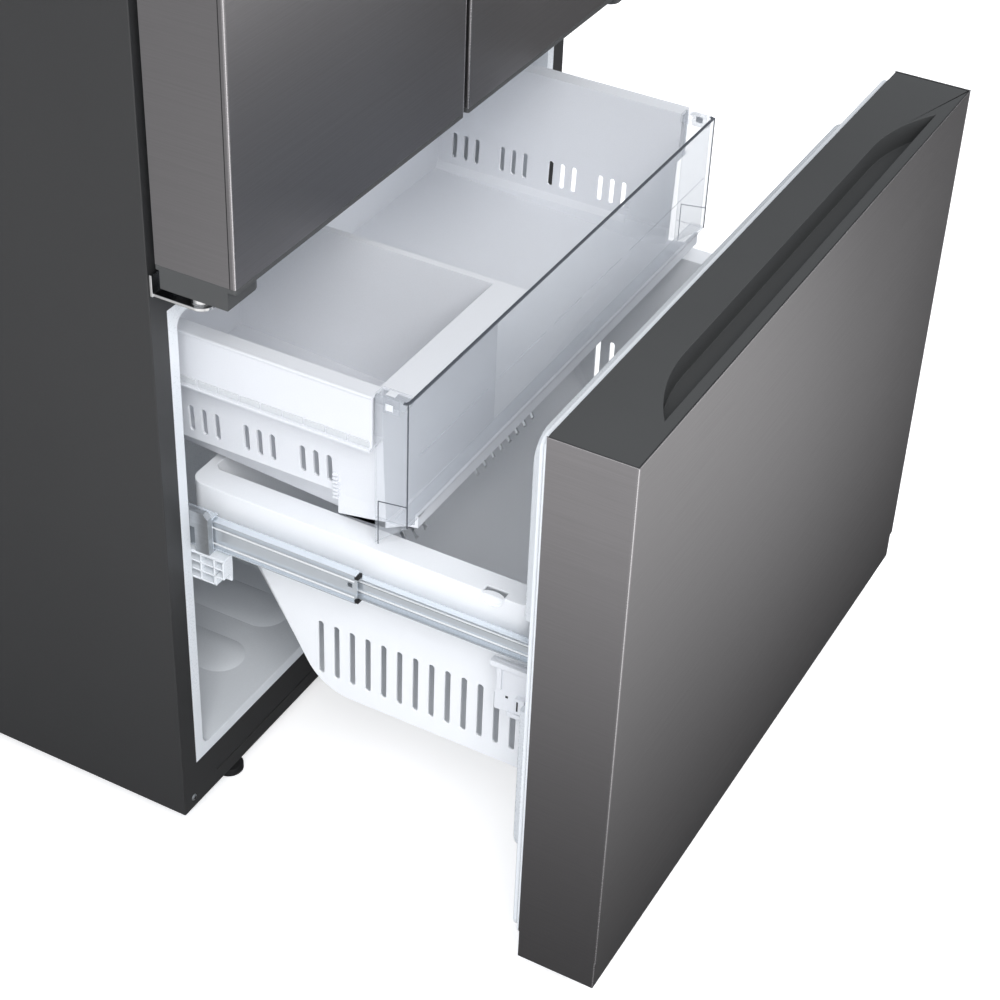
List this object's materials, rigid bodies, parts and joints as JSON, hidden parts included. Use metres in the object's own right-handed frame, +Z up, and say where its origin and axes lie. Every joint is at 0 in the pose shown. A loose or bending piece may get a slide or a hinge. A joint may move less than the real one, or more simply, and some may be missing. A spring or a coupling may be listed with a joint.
{
  "type": "french door bottom freezer refrigerator",
  "caption": "Free-standing refrigerator with two swinging fridge doors above a pull-out freezer drawer that carries a slotted basket, under a sliding tray with a clear front.",
  "frame": {"origin": "centre of the whole part's floor outline, with the drawer open as in the picture, on the floor", "axes": "+X to the right seen from the front, -Y to the front, +Z up"},
  "size_m": [0.908, 1.189, 1.7857],
  "materials": {
    "shell_paint": "satin dark grey paint",
    "galvanised": "bare zinc-coated sheet",
    "front_steel": "dark brushed stainless",
    "cap_plastic": "dark grey moulded plastic",
    "white_liner": "white liner plastic",
    "white_bin": "white moulded plastic",
    "clear_plastic": "clear moulded plastic",
    "shelf_glass": "tempered glass",
    "black_rubber": "black soft seal",
    "white_seal": "light soft seal",
    "slide_steel": "zinc-plated steel",
    "hinge_chrome": "bright plated steel",
    "foot_plastic": "black plastic",
    "compressor_paint": "black enamel",
    "foam": "rigid foam",
    "fin_metal": "bare aluminium",
    "fan_plastic": "dark moulded plastic"
  },
  "bodies": {
    "cabinet": {"side_panel_left": "shell_paint", "side_panel_right": "shell_paint", "top_panel": "shell_paint", "back_panel": "galvanised", "base_deck": "galvanised", "compressor_base": "galvanised", "kick_rail": "shell_paint", "center_rail": "shell_paint", "insulation": "foam", "fridge_liner": "white_liner", "freezer_liner": "white_liner", "evaporator_cover": "white_liner", "evaporator": "fin_metal", "fan_motors": "fan_plastic", "compressor": "compressor_paint", "condenser": "fin_metal", "drip_pan": "foot_plastic", "machine_cover": "galvanised", "levelling_feet": "foot_plastic", "mid_hinges": "hinge_chrome", "top_hinges": "hinge_chrome", "hinge_covers": "cap_plastic", "slide_outers": "slide_steel", "slide_brackets": "galvanised", "slide_supports": "white_liner", "air_duct": "white_liner", "shelf_tracks": "galvanised", "shelf_frames": "white_bin", "shelf_glass": "shelf_glass", "crisper_cover": "shelf_glass"},
    "left_door": {"door_left_skin": "front_steel", "door_left_liner": "white_liner", "door_left_cap_top": "cap_plastic", "door_left_cap_bottom": "cap_plastic", "door_left_gasket": "black_rubber", "door_left_bins": "clear_plastic"},
    "right_door": {"door_right_skin": "front_steel", "door_right_liner": "white_liner", "door_right_cap_top": "cap_plastic", "door_right_cap_bottom": "cap_plastic", "door_right_gasket": "black_rubber", "door_right_bins": "clear_plastic"},
    "mullion_flap": {"mullion_flap": "white_seal"},
    "freezer_drawer": {"drawer_skin": "front_steel", "drawer_handle_cap": "cap_plastic", "drawer_bottom_cap": "cap_plastic", "drawer_liner": "white_liner", "drawer_gasket": "white_seal", "basket_rails": "slide_steel", "slide_inners": "slide_steel", "basket": "white_bin"},
    "slide_middle_left": {"slide_middle_left": "slide_steel"},
    "slide_middle_right": {"slide_middle_right": "slide_steel"},
    "tray": {"tray": "white_bin", "tray_front": "clear_plastic"},
    "crisper_left": {"crisper_left": "white_bin"},
    "crisper_right": {"crisper_right": "white_bin"},
    "condenser_fan": {"condenser_fan": "fan_plastic"},
    "evaporator_fan": {"evaporator_fan": "fan_plastic"},
    "rear_rollers": {"rear_rollers": "foot_plastic"}
  },
  "joints": [
    {"name": "left_door_hinge", "type": "hinge", "parent": "cabinet", "child": "left_door", "pos_m": [-0.435, -0.0975, 1.2], "axis": [0, 0, -1], "range_deg": [0, 115]},
    {"name": "right_door_hinge", "type": "hinge", "parent": "cabinet", "child": "right_door", "pos_m": [0.435, -0.0975, 1.2], "axis": [0, 0, 1], "range_deg": [0, 115]},
    {"name": "flap_hinge", "type": "hinge", "parent": "left_door", "child": "mullion_flap", "pos_m": [-0.031, -0.0375, 1.2], "axis": [0, 0, -1], "range_deg": [0, 90]},
    {"name": "drawer_slide", "type": "slide", "parent": "cabinet", "child": "freezer_drawer", "axis": [0, -1, 0], "range_m": [-0.442, 0]},
    {"name": "slide_middle_left_run", "type": "slide", "parent": "cabinet", "child": "slide_middle_left", "axis": [0, -1, 0], "range_m": [-0.221, 0]},
    {"name": "slide_middle_right_run", "type": "slide", "parent": "cabinet", "child": "slide_middle_right", "axis": [0, -1, 0], "range_m": [-0.221, 0]},
    {"name": "tray_slide", "type": "slide", "parent": "cabinet", "child": "tray", "axis": [0, -1, 0], "range_m": [-0.2801, 0]},
    {"name": "crisper_left_slide", "type": "slide", "parent": "cabinet", "child": "crisper_left", "axis": [0, -1, 0], "range_m": [0, 0.06]},
    {"name": "crisper_right_slide", "type": "slide", "parent": "cabinet", "child": "crisper_right", "axis": [0, -1, 0], "range_m": [0, 0.06]},
    {"name": "condenser_fan_spin", "type": "hinge", "parent": "cabinet", "child": "condenser_fan", "pos_m": [-0.15, 0.4545, 0.136], "axis": [1, 0, 0], "continuous": true},
    {"name": "evaporator_fan_spin", "type": "hinge", "parent": "cabinet", "child": "evaporator_fan", "pos_m": [0, 0.4495, 0.642], "axis": [0, 1, 0], "continuous": true},
    {"name": "rear_roller_spin", "type": "hinge", "parent": "cabinet", "child": "rear_rollers", "pos_m": [0, 0.5445, 0.017], "axis": [1, 0, 0], "continuous": true}
  ],
  "couplings": [
    {"joint": "slide_middle_left_run", "follows": "drawer_slide", "ratio": 0.5},
    {"joint": "slide_middle_right_run", "follows": "drawer_slide", "ratio": 0.5},
    {"joint": "tray_slide", "follows": "drawer_slide", "ratio": 0.63348}
  ]
}
